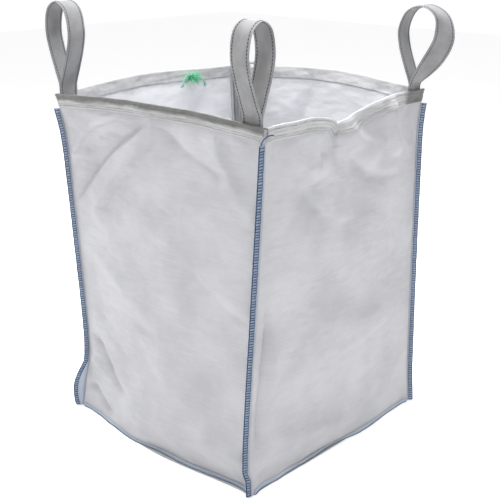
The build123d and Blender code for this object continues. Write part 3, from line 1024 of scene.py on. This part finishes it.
straps = []
strap_stitches = []
leg_stitches = []
for k in range(4):
    corner = ROUND[k + 1]
    line = webbing_line(k)
    steps = lengths_along(line)
    half_width = WEB_WIDTH / 2
    thick = WEB_CLOTH / 2 - 0.0001
    section = [(-1, 0.35), (-0.98, 0.85), (-0.93, 1), (-0.8, 1), (-0.77, 0.78), (-0.74, 1),
               (-0.4, 1), (0, 1.06), (0.4, 1), (0.74, 1), (0.77, 0.78), (0.8, 1), (0.93, 1),
               (0.98, 0.85), (1, 0.35)]
    section += [(a, -b) for a, b in section[::-1]]
    rows = [strap_points(k, line, a * half_width, b * thick) for a, b in section]
    across = np.cumsum([0] + [
        math.hypot((a1 - a0) * half_width, (b1 - b0) * thick)
        for (a0, b0), (a1, b1) in zip(section, section[1:])
    ])
    shape = Shape()
    index = shape.grid(np.stack(rows), paired(across[:, None], steps[None]), wrap=True)
    shape.faces.append(index[:-1, 0].tolist())
    shape.faces.append(index[:-1, -1][::-1].tolist())
    straps.append(shape.build(f"webbing_{corner}", webbing))

    # Dark stitching along both edges, on both faces.
    shape = Shape()
    starts = np.arange(0.008, steps[-1] - 0.02, 0.0100)
    for side in (-1, 1):
        for face in (-1, 1):
            offset = side * (half_width - STITCH_INSET)
            track = strap_points(k, line, offset, face * (thick + 0.0005))
            for start in starts:
                where = np.linspace(start, start + 0.0070, 5)
                shape.tube(resampled(where, steps, track), 0.00145, 5)
    strap_stitches.append(shape.build(f"webbing_stitches_{corner}", dark_thread))

    # The seams that hold the two legs to the wall: five upright rows and two bars across.
    shape = Shape()
    inner_face = LEG_MIDDLE - WEB_CLOTH - 0.0002 - 0.0006
    foot_z, head_z = RIM - LEG_LENGTH + 0.016, RIM - 0.060
    for share in (-0.76, -0.38, 0, 0.38, 0.76):
        station = WEB_MIDDLE + share * half_width / HALF
        for start in np.arange(foot_z, head_z, 0.0090):
            level = np.linspace(start, start + 0.0066, 4)
            shape.tube(surface(k, station + 0 * level, level, inner_face, loose=0.0), 0.0007, 5)
    for level in (foot_z, head_z):
        for start in np.arange(-0.8, 0.74, 0.22):
            share = np.linspace(start, start + 0.17, 4)
            station = WEB_MIDDLE + share * half_width / HALF
            shape.tube(surface(k, station, level + 0 * share, inner_face, loose=0.0), 0.0008, 5)
    leg_stitches.append(shape.build(f"leg_stitches_{corner}", dark_thread))

# ---------------------------------------------------------------- twine knot
knot_low, knot_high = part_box("tie_knot")
knot_middle = np.array((knot_low + knot_high) / 2)
shape = Shape()
KNOT_RADIUS = 0.0085
for strand in range(3):
    turn = np.linspace(0, 2 * math.pi * 2, 140)
    tilt = strand * math.pi / 3
    wide = KNOT_RADIUS * (0.75 + 0.25 * np.cos(3 * turn / 2 + strand))
    flat = np.stack([
        wide * np.cos(turn),
        wide * np.sin(turn),
        0.0035 * np.sin(3 * turn / 2 + strand * 2),
    ], -1)
    tip = np.array([
        [math.cos(tilt), 0, math.sin(tilt)],
        [0, 1, 0],
        [-math.sin(tilt), 0, math.cos(tilt)],
    ])
    shape.tube(knot_middle + flat @ tip.T, 0.0026, 8)
knot = shape.build("twine_knot", green_twine)

# Frayed fibres that burst out of the knot and from the two ends.
shape = Shape()
FIBRES = 120
for i in range(FIBRES):
    bearing = i * 2.399
    raise_by = math.asin(-0.75 + 1.5 * (i + 0.5) / FIBRES)
    way = np.array([
        abs(math.cos(raise_by) * math.cos(bearing)) * 0.55,
        math.cos(raise_by) * math.sin(bearing),
        math.sin(raise_by) * 0.7,
    ])
    way /= np.linalg.norm(way)
    long = 0.014 + 0.026 * (0.5 + 0.5 * math.sin(i * 5.1))
    steps = np.linspace(0, 1, 7)[:, None]
    droop = np.array([0, 0, -1.0]) * 0.010 * steps**2
    curl = np.array([0.2, 0.5, 0.3]) * 0.004 * np.sin(steps * 5 + i)
    shape.tube(knot_middle + way * (0.006 + long * steps) + droop + curl, 0.00085, 4)
for route in TAILS:
    end = np.array(route[-1])
    before = np.array(route[-2])
    run = (end - before) / np.linalg.norm(end - before)
    for i in range(18):
        bearing = i * 2.399
        up = math.cos(bearing * 1.7) * 0.4
        aside = np.array([math.cos(bearing) * 0.3, math.sin(bearing), up])
        steps = np.linspace(0, 1, 6)[:, None]
        path = end - run * 0.003 + run * 0.014 * steps + aside * 0.009 * steps**1.5
        shape.tube(path, 0.0008, 4)
fray = shape.build("twine_fray", green_twine)

for tail in tails:
    tail.data.materials.append(green_twine)

# ---------------------------------------------------------------- which body each rides on
def seat(piece, body, slot, *nodes):
    """Rides a piece on a body and hides the CAD nodes it stands for. The slot is not used."""
    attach(piece, body)
    if nodes:
        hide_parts(*nodes)


for k, name in enumerate(WALL_NAMES):
    seat(walls[k], "bag", "woven_cloth", f"wall_{name}")
    seat(hems[k], "bag", "hem_cloth", f"hem_{name}")
    seat(hem_rows[k], "bag", "white_thread", f"hem_stitching_{name}")
    seat(base_strips[k], "bag", "woven_cloth", f"base_seam_{name}")
    seat(base_edges[k], "bag", "blue_thread", f"base_thread_{name}")
seat(base, "bag", "woven_cloth", "base_panel")
for k in range(4):
    corner = ROUND[k + 1]
    seat(fins[k], "bag", "woven_cloth", f"corner_seam_{corner}")
    thread, filler = fin_threads[k]
    seat(thread, "bag", "blue_thread", f"corner_thread_{corner}")
    seat(filler, "bag", "blue_thread")
    seat(leg_stitches[k], "bag", "dark_thread", f"loop_stitching_{corner}")
seat(knot, "bag", "green_twine", "tie_knot")
seat(fray, "bag", "green_twine")
for number, tail in enumerate(tails, start=1):
    seat(tail, "bag", "green_twine", f"tie_tail_{number}")

# Each strap's hinge is read, with two points beside it that nothing uses; the strap and its
# stitches are baked in place and the CAD legs and loop hidden.
joints = {joint["child"]: joint for joint in frame["joints"]}
for k in range(4):
    corner = ROUND[k + 1]
    pivot = np.array(joints[f"{corner}_loop"]["pos_m"], float)
    yaw = RIM_TWIST + math.radians(90 * k)
    if corner == "back":
        way = np.array([math.sin(yaw), -math.cos(yaw), 0.0])
        start, end = pivot + way * 0.006, pivot + way * 0.030
    else:
        start, end = pivot + (0, 0, -0.008), pivot + (0, 0, 0.020)
    for piece, slot in ((straps[k], "webbing"), (strap_stitches[k], "dark_thread")):
        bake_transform(piece)
    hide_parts(f"loop_legs_{corner}", f"lift_loop_{corner}")

# ---------------------------------------------------------------- floor and light
floor_mesh = bpy.data.meshes.new("floor")
FLOOR_REACH = 12.0
floor_mesh.from_pydata(
    [(-FLOOR_REACH, -FLOOR_REACH, 0), (FLOOR_REACH, -FLOOR_REACH, 0),
     (FLOOR_REACH, FLOOR_REACH, 0), (-FLOOR_REACH, FLOOR_REACH, 0)],
    [],
    [(0, 1, 2, 3)],
)
floor = bpy.data.objects.new("floor", floor_mesh)
bpy.context.scene.collection.objects.link(floor)
floor_material = new_material("floor")
tree = floor_material.node_tree
floor_place = add(tree, "ShaderNodeTexCoord").outputs["Object"]
floor_tone = mix_colour(
    tree, noise_socket(tree, floor_place, 2.0), (0.90, 0.90, 0.905, 1), (0.93, 0.93, 0.935, 1)
)
floor_shader = add(tree, "ShaderNodeBsdfPrincipled", {"Base Color": floor_tone, "Roughness": 0.9})
floor_shader.inputs["Emission Color"].default_value = (1, 1, 1, 1)
floor_shader.inputs["Emission Strength"].default_value = 0.34
add(tree, "ShaderNodeOutputMaterial", {"Surface": floor_shader.outputs[0]})
floor_mesh.materials.append(floor_material)

world = bpy.data.worlds.new("studio")
world.use_nodes = True
background = world.node_tree.nodes["Background"]
background.inputs["Color"].default_value = (0.99, 0.99, 1.0, 1)
sky = world.node_tree
toward = add(sky, "ShaderNodeTexCoord").outputs["Generated"]
facing = add(sky, "ShaderNodeVectorMath", {0: toward, 1: (-0.69, 0.72, 0.05)},
             operation="DOT_PRODUCT").outputs["Value"]
strength = add(
    sky,
    "ShaderNodeMapRange",
    {"Value": facing, "From Min": -0.3, "From Max": 0.80, "To Min": 0.45, "To Max": 1.02},
)
sky.links.new(strength.outputs[0], background.inputs["Strength"])
bpy.context.scene.world = world


def area_light(name, place, target, size, power, spread=180.0):
    data = bpy.data.lights.new(name, "AREA")
    data.shape = "DISK"
    data.size = size
    data.energy = power
    data.spread = math.radians(spread)
    lamp = bpy.data.objects.new(name, data)
    bpy.context.scene.collection.objects.link(lamp)
    lamp.location = place
    lamp.rotation_euler = (Vector(target) - Vector(place)).to_track_quat("-Z", "Y").to_euler()
    lamp.visible_camera = False


area_light("back_light", (-2.4, 2.7, 3.2), (0, 0, 0.9), 1.5, 60)
area_light("top_light", (-0.2, 0.5, 4.4), (0, 0, 0.9), 1.0, 100)
area_light("front_light", (1.2, -1.0, 4.4), (0.2, -0.1, 0.6), 0.8, 60)
area_light("left_light", (-3.0, -1.5, 2.9), (0, -0.3, 0.7), 0.7, 45)
area_light("mouth_light", (-0.03, 0.03, 3.0), (-0.04, 0.04, 0.8), 0.3, 12, 16)

bpy.context.scene.view_settings.view_transform = "Standard"
